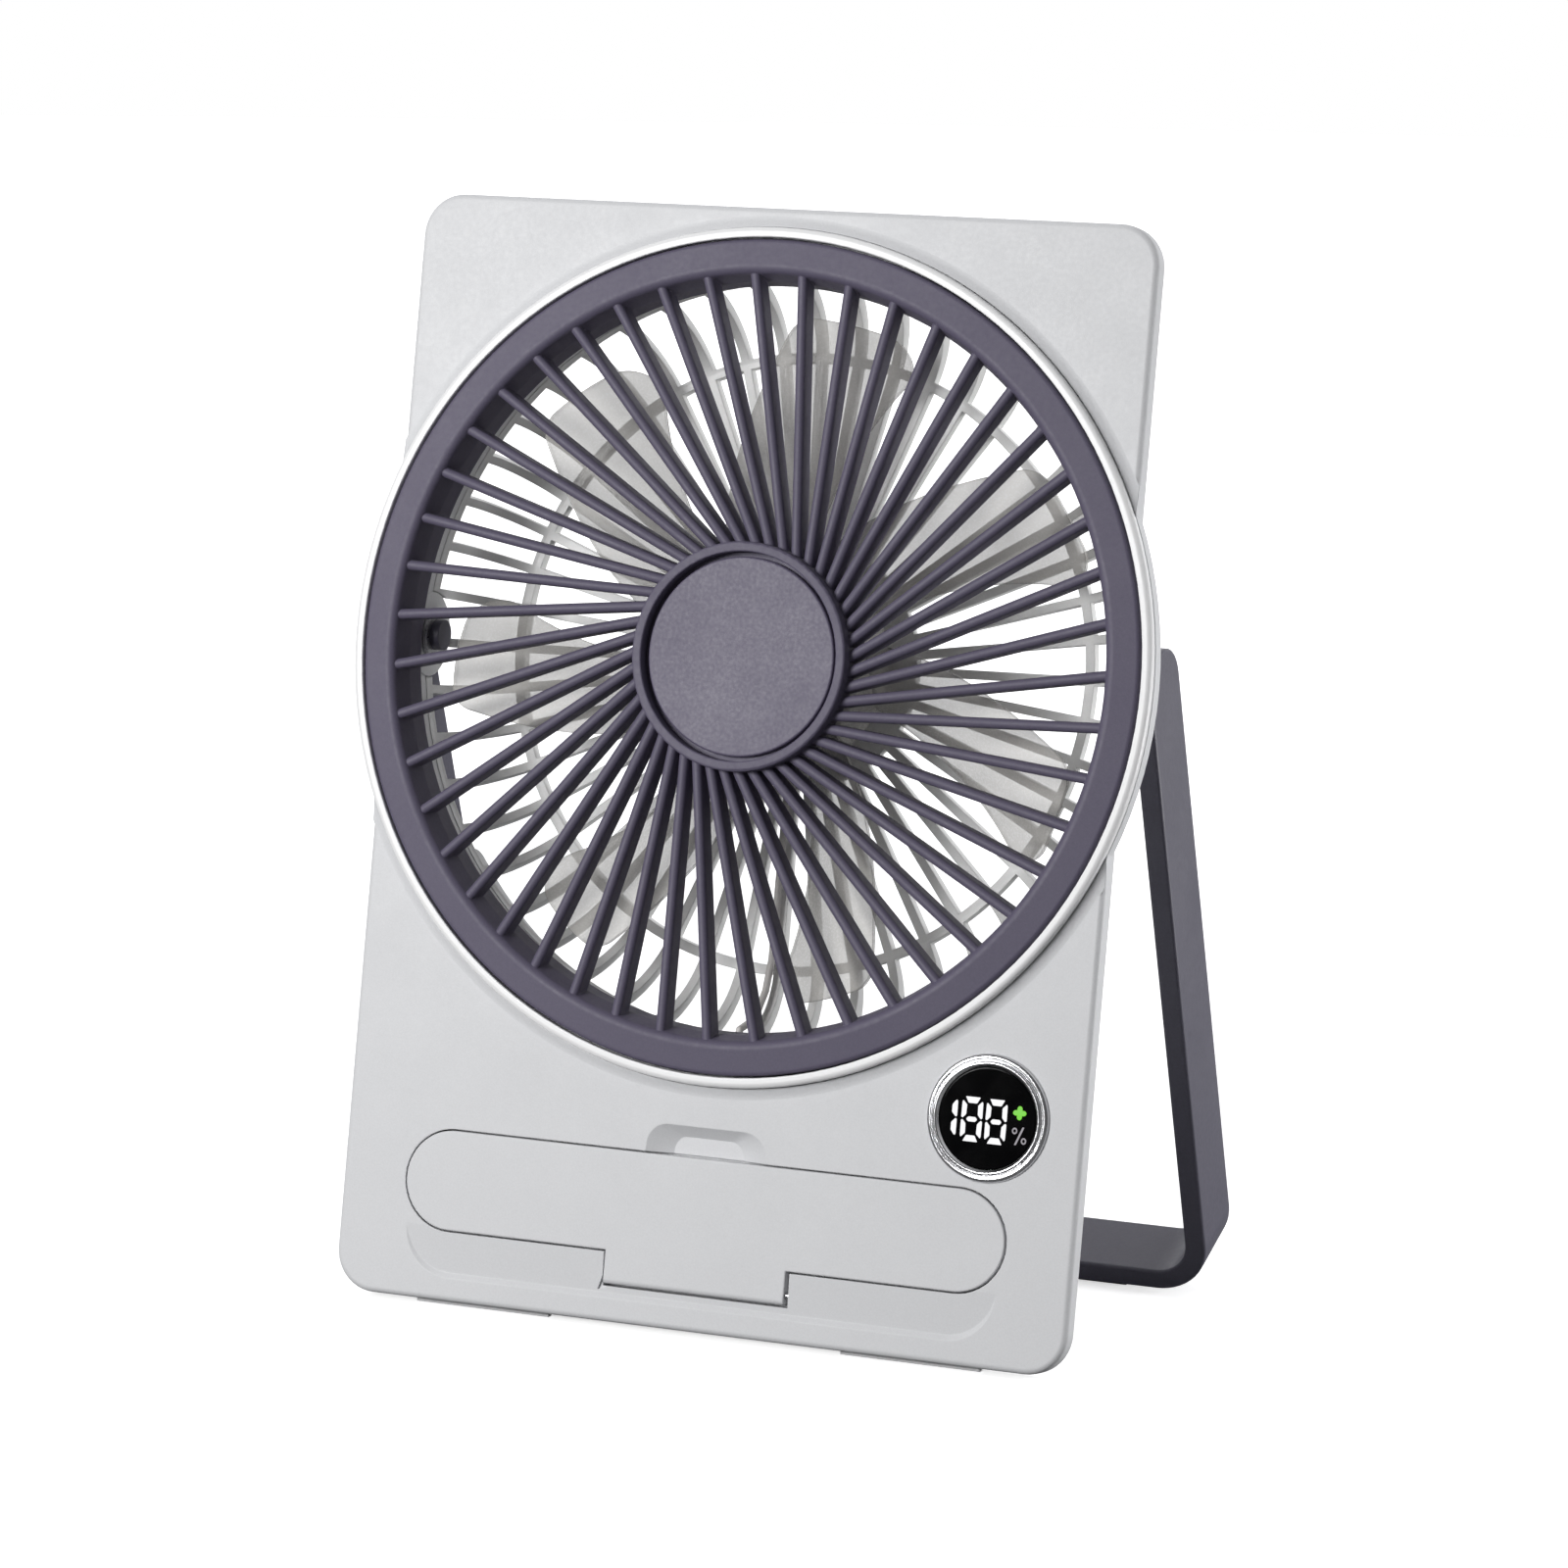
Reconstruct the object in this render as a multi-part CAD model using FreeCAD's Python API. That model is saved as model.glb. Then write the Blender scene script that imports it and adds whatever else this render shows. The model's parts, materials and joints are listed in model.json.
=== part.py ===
import FreeCAD, Part
import math
import os

os.makedirs("parts", exist_ok=True)

# A small rechargeable fan with a rectangular front panel, a round drum with a
# swept-spoke grille, a fold-out phone ledge, a round charge display and a
# U-shaped strap that is both rear stand and carrying handle.
#
# All pieces are modelled in the panel frame: X to the viewer's right, Y up
# along the panel from its bottom edge, Z out of the panel's front face. The
# last step leans the whole fan back and sets it on the ground plane.

# ------------------------------------------------------------ driving dimensions
PANEL_W = 150.0          # panel width
PANEL_H = 212.8          # panel height along its face
PANEL_T = 4.1            # depth of the panel's edge
PANEL_R = 8.0            # corner radius
SKIN = 2.0               # panel wall
LEAN = 10.5              # lean of the panel from the vertical, degrees

DRUM_Y = 127.8           # drum axis above the panel's bottom edge
COLLAR_R = 81.2          # outside of the drum collar and of the bezel
COLLAR_BACK = -3.2       # rear edge of the collar
BEZEL_IN = 79.2
BEZEL_FRONT = 2.5
RING_R = 78.9            # outside of the front grille
RING_IN = 70.8           # clear opening at the end of its skirt
SPOKES = 47
SPOKE_OFF = -10.25       # the spokes pass the axis at this distance
SPOKE_PHASE = 1.83
SPOKE_W = 1.95
SPOKE_TOP = 2.3
SPOKE_BOT = -1.95
HUB_R = 21.7
HUB_FRONT = 4.5
RECESS_R = 19.8          # recess in the hub
BADGE_R = 18.9
BADGE_FRONT = 2.85

TUBE_R = 74.2            # drum tube behind the panel
TUBE_IN = 72.2
TUBE_END = -11.0
CAGE_END = -30.0
CAGE_RIBS = 48
CAGE_PHASE = 1.0
CAGE_RING = 59.3
MOUNT_R = 24.0

BOX_W = 126.0            # electronics box behind the panel
BOX_Y = 9.0
BOX_END = -22.0
WALL = 2.0

BLADES = 7
BLADE_TIP = 65.5
BLADE_PHASE = 23.0
HUB_SLEEVE = 20.5

PIVOT_Z = -11.5          # strap pivot, on the drum axis height
STRAP_OUT = 79.7         # half width over the strap
STRAP_T = 4.2
STRAP_W = 15.9
STRAP_L = 129.4          # pivot to the outer face of the foot
STRAP_ANGLE = 30.5       # between strap and panel when standing
PIN_R = 2.98
BORE_R = 3.03

FLAP_HALF = 61.4         # half length of the phone ledge
FLAP_Y0 = 13.6
FLAP_Y1 = 32.8
FLAP_T = 2.4
HINGE_Y = 9.0
HINGE_Z = -1.2

DISP_X = 56.1
DISP_Y = 46.3
DISP_R = 12.0
LENS_R = 9.5

FLOOR_GAP = 0.35         # the hard edges stand this far off the ground

V = FreeCAD.Vector
EX, EY, EZ = V(1, 0, 0), V(0, 1, 0), V(0, 0, 1)
AXIS = V(0, DRUM_Y, 0)


# ------------------------------------------------------------ helpers
def cyl(r, z0, z1, x=0.0, y=DRUM_Y):
    return Part.makeCylinder(r, z1 - z0, V(x, y, z0))


def ring(ro, ri, z0, z1, x=0.0, y=DRUM_Y):
    return cyl(ro, z0, z1, x, y).cut(cyl(ri, z0 - 1, z1 + 1, x, y))


def xcyl(r, x0, x1, y, z):
    return Part.makeCylinder(r, x1 - x0, V(x0, y, z), EX)


def box(x0, x1, y0, y1, z0, z1):
    return Part.makeBox(x1 - x0, y1 - y0, z1 - z0, V(x0, y0, z0))


def rrect_wire(x0, y0, x1, y1, r, z):
    k = r * (1 - math.sqrt(0.5))
    e = [
        Part.makeLine(V(x0 + r, y0, z), V(x1 - r, y0, z)),
        Part.Arc(V(x1 - r, y0, z), V(x1 - k, y0 + k, z), V(x1, y0 + r, z)).toShape(),
        Part.makeLine(V(x1, y0 + r, z), V(x1, y1 - r, z)),
        Part.Arc(V(x1, y1 - r, z), V(x1 - k, y1 - k, z), V(x1 - r, y1, z)).toShape(),
        Part.makeLine(V(x1 - r, y1, z), V(x0 + r, y1, z)),
        Part.Arc(V(x0 + r, y1, z), V(x0 + k, y1 - k, z), V(x0, y1 - r, z)).toShape(),
        Part.makeLine(V(x0, y1 - r, z), V(x0, y0 + r, z)),
        Part.Arc(V(x0, y0 + r, z), V(x0 + k, y0 + k, z), V(x0 + r, y0, z)).toShape(),
    ]
    return Part.Wire(e)


def rrect(x0, y0, x1, y1, r, z0, z1):
    return Part.Face(rrect_wire(x0, y0, x1, y1, r, z0)).extrude(V(0, 0, z1 - z0))


def pill_wire(xa, xb, y, r, z):
    e = [
        Part.makeLine(V(xa + r, y - r, z), V(xb - r, y - r, z)),
        Part.Arc(V(xb - r, y - r, z), V(xb, y, z), V(xb - r, y + r, z)).toShape(),
        Part.makeLine(V(xb - r, y + r, z), V(xa + r, y + r, z)),
        Part.Arc(V(xa + r, y + r, z), V(xa, y, z), V(xa + r, y - r, z)).toShape(),
    ]
    return Part.Wire(e)


def pill(xa, xb, y, r, z0, z1):
    return Part.Face(pill_wire(xa, xb, y, r, z0)).extrude(V(0, 0, z1 - z0))


def poly_prism_z(pts, z0, z1):
    p = [V(x, y, z0) for x, y in pts]
    return Part.Face(Part.makePolygon(p + [p[0]])).extrude(V(0, 0, z1 - z0))


def poly_prism_x(pts, x0, x1):
    p = [V(x0, y, z) for y, z in pts]
    return Part.Face(Part.makePolygon(p + [p[0]])).extrude(V(x1 - x0, 0, 0))


def revolve(edges):
    w = Part.Wire(Part.__sortEdges__(edges))
    s = Part.Face(w).revolve(V(0, 0, 0), EZ, 360)
    s.translate(AXIS)
    return s


def line(a, b):
    return Part.makeLine(V(a[0], 0, a[1]), V(b[0], 0, b[1]))


def lathe(pts):
    """Revolved polygon of (radius, z) points about the drum axis."""
    return revolve([line(pts[i], pts[(i + 1) % len(pts)]) for i in range(len(pts))])


def spline(pts):
    c = Part.BSplineCurve()
    c.interpolate([V(r, 0, z) for r, z in pts])
    return c.toShape()


def arc(a, m, b):
    return Part.Arc(V(a[0], 0, a[1]), V(m[0], 0, m[1]), V(b[0], 0, b[1])).toShape()


def turned(shape, deg):
    s = shape.copy()
    s.rotate(AXIS, EZ, deg)
    return s


def one(shape):
    """The single solid of a boolean result."""
    s = sorted(shape.Solids, key=lambda q: q.Volume)
    return s[-1] if len(s) == 1 or s[-1].Volume > 0.999 * shape.Volume else shape


def try_fillet(shape, r, pick):
    edges = [e for e in shape.Edges if pick(e)]
    if not edges:
        return shape
    try:
        f = shape.makeFillet(r, edges)
        if f.isValid() and f.Volume > 0.5 * shape.Volume:
            return f
    except Exception:
        pass
    out = shape
    for e in edges:
        try:
            f = out.makeFillet(r, [x for x in out.Edges if x.CenterOfMass.isEqual(e.CenterOfMass, 1e-4)])
            if f.isValid():
                out = f
        except Exception:
            pass
    return out


def flat_at(e, z, tol=1e-3):
    b = e.BoundBox
    return abs(b.ZMin - z) < tol and abs(b.ZMax - z) < tol


nodes = {}

# ------------------------------------------------------------ front panel
# One moulding: the plate with its rim wall, the drum collar that stands
# proud of the sides, the flare round the collar, the ledge pocket and the
# finger notch.
plate = rrect(-PANEL_W / 2, 0, PANEL_W / 2, PANEL_H, PANEL_R, -PANEL_T, 0)
plate = try_fillet(plate, 1.1, lambda e: flat_at(e, 0))
plate = try_fillet(plate, 0.4, lambda e: flat_at(e, -PANEL_T))
hollow = rrect(-PANEL_W / 2 + 1.8, 1.8, PANEL_W / 2 - 1.8, PANEL_H - 1.8, PANEL_R - 1.8, -PANEL_T - 1, -SKIN)
hollow = hollow.cut(box(-66, 66, 0, 42, -6, 0))
hollow = hollow.cut(cyl(COLLAR_R + 1.6, -6, 0))
hollow = hollow.cut(cyl(13.4, -6, 0, DISP_X, DISP_Y))
SCREW_XY = [(-54.0, 50.0), (40.0, 47.5), (-57.5, 72.0), (57.5, 72.0)]
EAR_ANG = [60.0, 120.0]
EAR_R = 85.2
EAR_XY = [(EAR_R * math.cos(math.radians(a)), DRUM_Y + EAR_R * math.sin(math.radians(a))) for a in EAR_ANG]
for x, y in SCREW_XY + EAR_XY:
    hollow = hollow.cut(cyl(3.2, -6, 0, x, y))
panel = plate.cut(hollow)

# soft flare that rises to the collar
flare = revolve([
    line((80.0, -1.0), (80.0, 0.8)), line((80.0, 0.8), (81.35, 0.8)),
    arc((81.35, 0.8), (82.406, 0.202), (83.6, -0.004)),
    line((83.6, -0.004), (83.6, -1.0)), line((83.6, -1.0), (80.0, -1.0)),
])
outline = rrect(-PANEL_W / 2, 0, PANEL_W / 2, PANEL_H, PANEL_R, -8, 8)
flare = flare.common(outline)
panel = panel.fuse(flare)
panel = panel.cut(cyl(81.35, 0.3, 8))
panel = panel.cut(cyl(COLLAR_R - 0.5, -8, 8))

collar = lathe([(BEZEL_IN, -2.1), (BEZEL_IN, 0.3), (COLLAR_R - 0.35, 0.3), (COLLAR_R, 0.05),
                (COLLAR_R, COLLAR_BACK + 0.4), (COLLAR_R - 0.4, COLLAR_BACK), (73.2, COLLAR_BACK), (73.2, -2.1)])
panel = panel.fuse(collar)

# pocket of the phone ledge, with the deeper slot for its hinge tab
pocket = pill(-FLAP_HALF - 0.2, FLAP_HALF + 0.45, (FLAP_Y0 + FLAP_Y1) / 2, (FLAP_Y1 - FLAP_Y0) / 2 + 0.32, -2.85, 1)
slot = box(-18.75, 19.35, 6.75, FLAP_Y0 + 1, -3.55, 1)
relief = poly_prism_z([(-19.6, 6.0), (-17.2, 6.9), (-18.8, 8.6)], -0.9, 1)
panel = panel.cut(pocket).cut(slot).cut(relief)

# finger notch above the ledge, scooped
nw = Part.Wire([
    Part.makeLine(V(-13.9, 31.5, 0.6), V(15.2, 31.5, 0.6)),
    Part.makeLine(V(15.2, 31.5, 0.6), V(14.2, 34.2, 0.6)),
    Part.Arc(V(14.2, 34.2, 0.6), V(12.4, 37.9, 0.6), V(8.6, 39.3, 0.6)).toShape(),
    Part.makeLine(V(8.6, 39.3, 0.6), V(-8.6, 39.3, 0.6)),
    Part.Arc(V(-8.6, 39.3, 0.6), V(-12.0, 37.9, 0.6), V(-13.3, 34.2, 0.6)).toShape(),
    Part.makeLine(V(-13.3, 34.2, 0.6), V(-13.9, 31.5, 0.6)),
])
nb = nw.copy()
m = FreeCAD.Matrix()
m.move(V(0, -31.5, 0))
m.scale(V(0.52, 0.64, 1))
m.move(V(0, 31.5, -2.8))
nb = nb.transformGeometry(m)
notch = Part.makeLoft([nw, nb], True, True)
panel = panel.cut(notch)

# shallow ramp below the ledge, deepest at its lower edge, with eased sides
RY, RR = 13.9, 9.4
ramp = Part.makeLoft([pill_wire(-61.5, 61.5, RY, RR + 0.9, 0.4), pill_wire(-58.6, 58.6, RY, RR - 1.6, -0.75)], True, True)
ramp = ramp.common(poly_prism_x([(14.2, 0.0), (3.0, -0.64), (3.0, 0.4), (14.2, 0.4)], -70, 70))
panel = panel.cut(ramp)

# display hole, hinge pin bore, screw pilots, grooves for the base pads
panel = panel.cut(cyl(11.3, -8, 8, DISP_X, DISP_Y))
panel = panel.cut(xcyl(0.61, -23.5, 24.0, HINGE_Y, HINGE_Z))
for x, y in SCREW_XY + EAR_XY:
    panel = panel.cut(cyl(1.22, -6, -1.9, x, y))
GR_ANG = [20.0, 160.0, 200.0, 340.0]
GR_XY = [(76.0 * math.cos(math.radians(a)), DRUM_Y + 76.0 * math.sin(math.radians(a))) for a in GR_ANG]
for x, y in GR_XY:
    panel = panel.cut(cyl(1.0, -4, -1, x, y))
PADS = [(-58.0, -30.0), (30.0, 58.0)]
for a, b in PADS:
    panel = panel.cut(box(a, b, -1, 0.8, -3.5, -2.1))
nodes["front_panel"] = one(panel)

# ------------------------------------------------------------ bezel ring
bezel = revolve([
    line((BEZEL_IN + 0.05, 0.45), (BEZEL_IN + 0.05, BEZEL_FRONT - 0.25)),
    arc((BEZEL_IN + 0.05, BEZEL_FRONT - 0.25), (BEZEL_IN + 0.13, BEZEL_FRONT - 0.07), (BEZEL_IN + 0.3, BEZEL_FRONT)),
    line((BEZEL_IN + 0.3, BEZEL_FRONT), (COLLAR_R - 0.95, BEZEL_FRONT)),
    arc((COLLAR_R - 0.95, BEZEL_FRONT), (COLLAR_R - 0.28, BEZEL_FRONT - 0.28), (COLLAR_R, BEZEL_FRONT - 0.95)),
    line((COLLAR_R, BEZEL_FRONT - 0.95), (COLLAR_R, 0.7)),
    line((COLLAR_R, 0.7), (COLLAR_R - 0.35, 0.45)),
    line((COLLAR_R - 0.35, 0.45), (BEZEL_IN + 0.05, 0.45)),
])
# a locating rib joins the bezel to the collar below it
bezel = bezel.fuse(ring(COLLAR_R - 0.6, BEZEL_IN + 0.5, 0.3, 0.6))
nodes["bezel_ring"] = one(bezel)

# ------------------------------------------------------------ front grille
# the ring: a nearly flat outer face, a rounded crest, then a skirt into the drum
gring = revolve([
    line((RING_R, -2.0), (RING_R, 1.7)),
    arc((RING_R, 1.7), (78.651, 2.301), (78.168, 2.542)),
    line((78.168, 2.542), (74.0, 3.128)),
    arc((74.0, 3.128), (72.894, 2.878), (72.232, 1.958)),
    line((72.232, 1.958), (71.197, -1.9)),
    line((71.197, -1.9), (RING_IN, -6.0)),
    line((RING_IN, -6.0), (71.85, -6.0)),
    line((71.85, -6.0), (71.85, -3.3)),
    line((71.85, -3.3), (72.9, -2.0)),
    line((72.9, -2.0), (RING_R, -2.0)),
])
hub = revolve([
    line((0, SPOKE_BOT), (HUB_R - 0.6, SPOKE_BOT)),
    line((HUB_R - 0.6, SPOKE_BOT), (HUB_R, SPOKE_BOT + 0.6)),
    line((HUB_R, SPOKE_BOT + 0.6), (HUB_R, HUB_FRONT - 0.5)),
    arc((HUB_R, HUB_FRONT - 0.5), (HUB_R - 0.15, HUB_FRONT - 0.15), (HUB_R - 0.5, HUB_FRONT)),
    line((HUB_R - 0.5, HUB_FRONT), (RECESS_R + 0.2, HUB_FRONT)),
    line((RECESS_R + 0.2, HUB_FRONT), (RECESS_R, HUB_FRONT - 0.2)),
    line((RECESS_R, HUB_FRONT - 0.2), (RECESS_R, 1.5)),
    line((RECESS_R, 1.5), (0, 1.5)),
    line((0, 1.5), (0, SPOKE_BOT)),
])
# each spoke is a bar with a full-round top
s0 = math.sqrt(20.8 ** 2 - SPOKE_OFF ** 2)
s1 = math.sqrt(74.6 ** 2 - SPOKE_OFF ** 2)
hw, shoulder = SPOKE_W / 2, SPOKE_TOP - 0.9
spoke = Part.Face(Part.Wire([
    Part.makeLine(V(s0, SPOKE_OFF - hw, SPOKE_BOT), V(s0, SPOKE_OFF + hw, SPOKE_BOT)),
    Part.makeLine(V(s0, SPOKE_OFF + hw, SPOKE_BOT), V(s0, SPOKE_OFF + hw, shoulder)),
    Part.Arc(V(s0, SPOKE_OFF + hw, shoulder), V(s0, SPOKE_OFF, SPOKE_TOP), V(s0, SPOKE_OFF - hw, shoulder)).toShape(),
    Part.makeLine(V(s0, SPOKE_OFF - hw, shoulder), V(s0, SPOKE_OFF - hw, SPOKE_BOT)),
])).extrude(V(s1 - s0, 0, 0))
spoke.translate(AXIS)
spokes = [turned(spoke, SPOKE_PHASE + i * 360.0 / SPOKES) for i in range(SPOKES)]
grille = gring.multiFuse([hub] + spokes)
for s in (-1, 1):
    grille = grille.cut(xcyl(5.1, s * 71.0 - 3.0, s * 71.0 + 3.0, DRUM_Y, PIVOT_Z))
    a, b = sorted((s * 71.3, s * 77.0))
    grille = grille.cut(xcyl(8.6, a, b, DRUM_Y, PIVOT_Z).cut(box(-90, 90, 100, 160, COLLAR_BACK + 0.1, 10)))
for x, y in GR_XY:
    grille = grille.cut(cyl(0.92, -3, 0.7, x, y))
nodes["front_grille"] = one(grille)
assert len(nodes["front_grille"].Solids) == 1 and nodes["front_grille"].Volume > 35000

nodes["grille_badge"] = revolve([
    line((0, 1.55), (BADGE_R, 1.55)), line((BADGE_R, 1.55), (BADGE_R, BADGE_FRONT - 0.4)),
    arc((BADGE_R, BADGE_FRONT - 0.4), (BADGE_R - 0.12, BADGE_FRONT - 0.12), (BADGE_R - 0.4, BADGE_FRONT)),
    line((BADGE_R - 0.4, BADGE_FRONT), (0, BADGE_FRONT)), line((0, BADGE_FRONT), (0, 1.55)),
])

# four small screws hold the grille to the collar from behind
gs = []
for x, y in GR_XY:
    gs.append(cyl(0.9, COLLAR_BACK - 0.01, 0.4, x, y).fuse(cyl(1.5, COLLAR_BACK - 0.9, COLLAR_BACK - 0.01, x, y)))
nodes["grille_screws"] = Part.makeCompound(gs)

# ------------------------------------------------------------ rear shell
# Drum tube, electronics box, two screw ears and the two strap bosses.
tube = ring(TUBE_R, TUBE_IN, TUBE_END, COLLAR_BACK - 0.1)
for x, y in GR_XY:
    tube = tube.cut(cyl(2.1, COLLAR_BACK - 1.4, 0, x, y))
bx = BOX_W / 2
outer = rrect(-bx, BOX_Y, bx, 90, 7, BOX_END, -PANEL_T - 0.1)
outer = try_fillet(outer, 2.0, lambda e: flat_at(e, BOX_END))
inner = rrect(-bx + WALL, BOX_Y + WALL, bx - WALL, 88, 5, BOX_END + WALL, 0)
inner = inner.cut(cyl(TUBE_R + 2.15, -40, 5))
shell = outer.cut(inner)
shell = shell.cut(cyl(TUBE_R + 0.15, -40, TUBE_END))
shell = shell.fuse(tube)
shell = shell.cut(cyl(TUBE_IN, -40, 5))
shell = shell.cut(cyl(TUBE_R + 0.15, -40, TUBE_END))
for x, y in SCREW_XY:
    boss = cyl(4.2, BOX_END + 0.5, -PANEL_T - 0.1, x, y)
    shell = shell.fuse(boss)
for x, y in SCREW_XY:
    shell = shell.cut(cyl(2.7, BOX_END - 1, -6.6, x, y)).cut(cyl(1.35, -10, 0, x, y))
for a in EAR_ANG:
    ear = box(TUBE_IN + 1.0, EAR_R, -4, 4, -6.6, -4.2)
    ear = ear.fuse(Part.makeCylinder(4, 2.4, V(EAR_R, 0, -6.6)))
    ear.translate(AXIS)
    ear = turned(ear, a).cut(cyl(1.35, -10, 0, EAR_R * math.cos(math.radians(a)),
                                 DRUM_Y + EAR_R * math.sin(math.radians(a))))
    shell = shell.fuse(ear)
for s in (-1, 1):
    a, b = sorted((s * 71.45, s * 75.1))
    boss = xcyl(8.2, a, b, DRUM_Y, PIVOT_Z).cut(box(-90, 90, 100, 160, COLLAR_BACK - 0.1, 10))
    a, b = sorted((s * 71.45, s * 73.4))
    shell = shell.fuse(boss)
for s in (-1, 1):
    shell = shell.cut(xcyl(BORE_R, s * 74.0 - 6, s * 74.0 + 6, DRUM_Y, PIVOT_Z))
# side openings: charging socket and button, on the viewer's right
USB_Y, USB_Z = 24.0, -12.0
BTN_Y, BTN_Z = 42.0, -12.0
SIDE = FreeCAD.Rotation(EY, 90).multiply(FreeCAD.Rotation(EZ, 90))


def side_pill(half, r, x0, x1, y, z):
    """Pill-shaped prism along X, long way up the panel."""
    p = Part.Face(pill_wire(-half, half, 0, r, 0)).extrude(V(0, 0, x1 - x0))
    p.Placement = FreeCAD.Placement(V(x0, y, z), SIDE)
    return p


shell = shell.cut(side_pill(4.75, 1.9, bx - 4, bx + 2, USB_Y, USB_Z))
shell = shell.cut(side_pill(5.2, 2.7, bx - 4, bx + 2, BTN_Y, BTN_Z))
# passage for the motor lead from the drum to the electronics box
LEAD_Z = -12.4
shell = shell.cut(Part.makeCylinder(1.1, 12.0, V(0, DRUM_Y - 80.0, LEAD_Z), EY))
nodes["rear_shell"] = one(shell)

# six identical screws close the housing from behind
hs = []
for x, y in SCREW_XY + EAR_XY:
    hs.append(cyl(1.2, -6.61, -2.1, x, y).fuse(cyl(2.3, -8.0, -6.61, x, y)).cut(cyl(0.8, -8.5, -7.2, x, y)))
nodes["housing_screws"] = Part.makeCompound(hs)

# ------------------------------------------------------------ rear grille
# A bowl of radial ribs between a rim, a rib ring and the motor plate.
op = [(TUBE_R, -12.6), (73.6, -17.5), (70.8, -23.0), (65.5, -27.6), (59.5, -29.4)]
ip = [(59.5, -26.9), (64.4, -25.3), (68.6, -21.6), (71.1, -17.0), (TUBE_IN - 0.1, -12.6)]
bowl = revolve([
    line((TUBE_IN - 0.1, -11.05), (TUBE_R, -11.05)), line((TUBE_R, -11.05), (TUBE_R, -12.6)),
    spline(op),
    line((59.5, -29.4), (40.0, CAGE_END)), line((40.0, CAGE_END), (0, CAGE_END)),
    line((0, CAGE_END), (0, -27.6)), line((0, -27.6), (40.0, -27.6)), line((40.0, -27.6), (59.5, -26.9)),
    spline(ip),
    line((TUBE_IN - 0.1, -12.6), (TUBE_IN - 0.1, -11.05)),
])
RIB_W = 1.7


def rib_gap(r0, r1, z0, z1):
    """The space between two neighbouring ribs, from radius r0 to r1."""
    h, step = RIB_W / 2, math.radians(360.0 / CAGE_RIBS)

    def pt(r, a0, sgn):
        a = a0 + sgn * math.asin(h / r)
        return V(r * math.cos(a), r * math.sin(a), z0)

    p, q = pt(r0, 0, 1), pt(r1, 0, 1)
    t, u = pt(r1, step, -1), pt(r0, step, -1)
    mo = V(r1 * math.cos(step / 2), r1 * math.sin(step / 2), z0)
    mi = V(r0 * math.cos(step / 2), r0 * math.sin(step / 2), z0)
    w = Part.Wire([Part.makeLine(p, q), Part.Arc(q, mo, t).toShape(), Part.makeLine(t, u), Part.Arc(u, mi, p).toShape()])
    g = Part.Face(w).extrude(V(0, 0, z1 - z0))
    g.translate(AXIS)
    return g


ga_ = rib_gap(MOUNT_R, CAGE_RING - 0.95, -40, -20)
gb_ = rib_gap(CAGE_RING + 0.95, 80, -40, -13.6)
gaps = []
for i in range(CAGE_RIBS):
    gaps += [turned(ga_, CAGE_PHASE + i * 360.0 / CAGE_RIBS), turned(gb_, CAGE_PHASE + i * 360.0 / CAGE_RIBS)]
cage = bowl.cut(Part.makeCompound(gaps))
for s in (-1, 1):
    cage = cage.cut(xcyl(8.5, s * 73.0 - 3.2, s * 73.0 + 3.2, DRUM_Y, PIVOT_Z))
    cage = cage.cut(box(s * 73.0 - 3.2, s * 73.0 + 3.2, DRUM_Y - 8.5, DRUM_Y + 8.5, PIVOT_Z, 0))
MS_R = 10.5
MS_XY = [(MS_R * math.cos(math.radians(a)), DRUM_Y + MS_R * math.sin(math.radians(a))) for a in (90, 210, 330)]
for x, y in MS_XY:
    cage = cage.cut(cyl(1.35, -40, 0, x, y))
cage = cage.cut(Part.makeCylinder(1.1, 12.0, V(0, DRUM_Y - 80.0, LEAD_Z), EY))
nodes["rear_grille"] = one(cage)

# ------------------------------------------------------------ motor, fixed half
mb = lathe([(4.0, -27.55), (14.0, -27.55), (14.0, -25.6), (5.2, -25.6), (5.2, -10.4), (4.0, -10.4)])
for x, y in MS_XY:
    mb = mb.cut(cyl(1.22, -40, 0, x, y))
nodes["motor_base"] = one(mb)
ms = [cyl(1.2, CAGE_END - 0.01, -25.8, x, y).fuse(cyl(2.2, CAGE_END - 1.2, CAGE_END - 0.01, x, y)) for x, y in MS_XY]
nodes["motor_screws"] = Part.makeCompound(ms)
nodes["motor_bearings"] = Part.makeCompound([ring(3.98, 1.53, -24.6, -21.6), ring(3.98, 1.53, -14.0, -11.0)])
POLES = 9
core = ring(7.0, 5.22, -21.0, -14.5)
for i in range(POLES):
    leg = box(6.6, 12.4, -1.0, 1.0, -21.0, -14.5)
    leg.translate(AXIS)
    shoe = ring(13.4, 12.2, -21.0, -14.5).common(
        turned(poly_prism_z([(0, DRUM_Y), (20, DRUM_Y - 5.6), (20, DRUM_Y + 5.6)], -22, -14), 0))
    core = core.fuse(turned(leg.fuse(shoe), i * 360.0 / POLES))
nodes["stator_core"] = one(core)
coils = []
for i in range(POLES):
    c = box(7.9, 11.7, -2.0, 2.0, -21.9, -13.6).cut(box(7, 13, -1.05, 1.05, -21.05, -14.45))
    c = try_fillet(c, 0.6, lambda e: abs(abs(e.CenterOfMass.y) - 2.0) < 1e-3 and e.Length < 4.0)
    c.translate(AXIS)
    coils.append(turned(c, i * 360.0 / POLES))
nodes["stator_windings"] = Part.makeCompound(coils)
mbd = ring(13.2, 5.3, -24.6, -23.4)
nodes["motor_board"] = mbd

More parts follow.
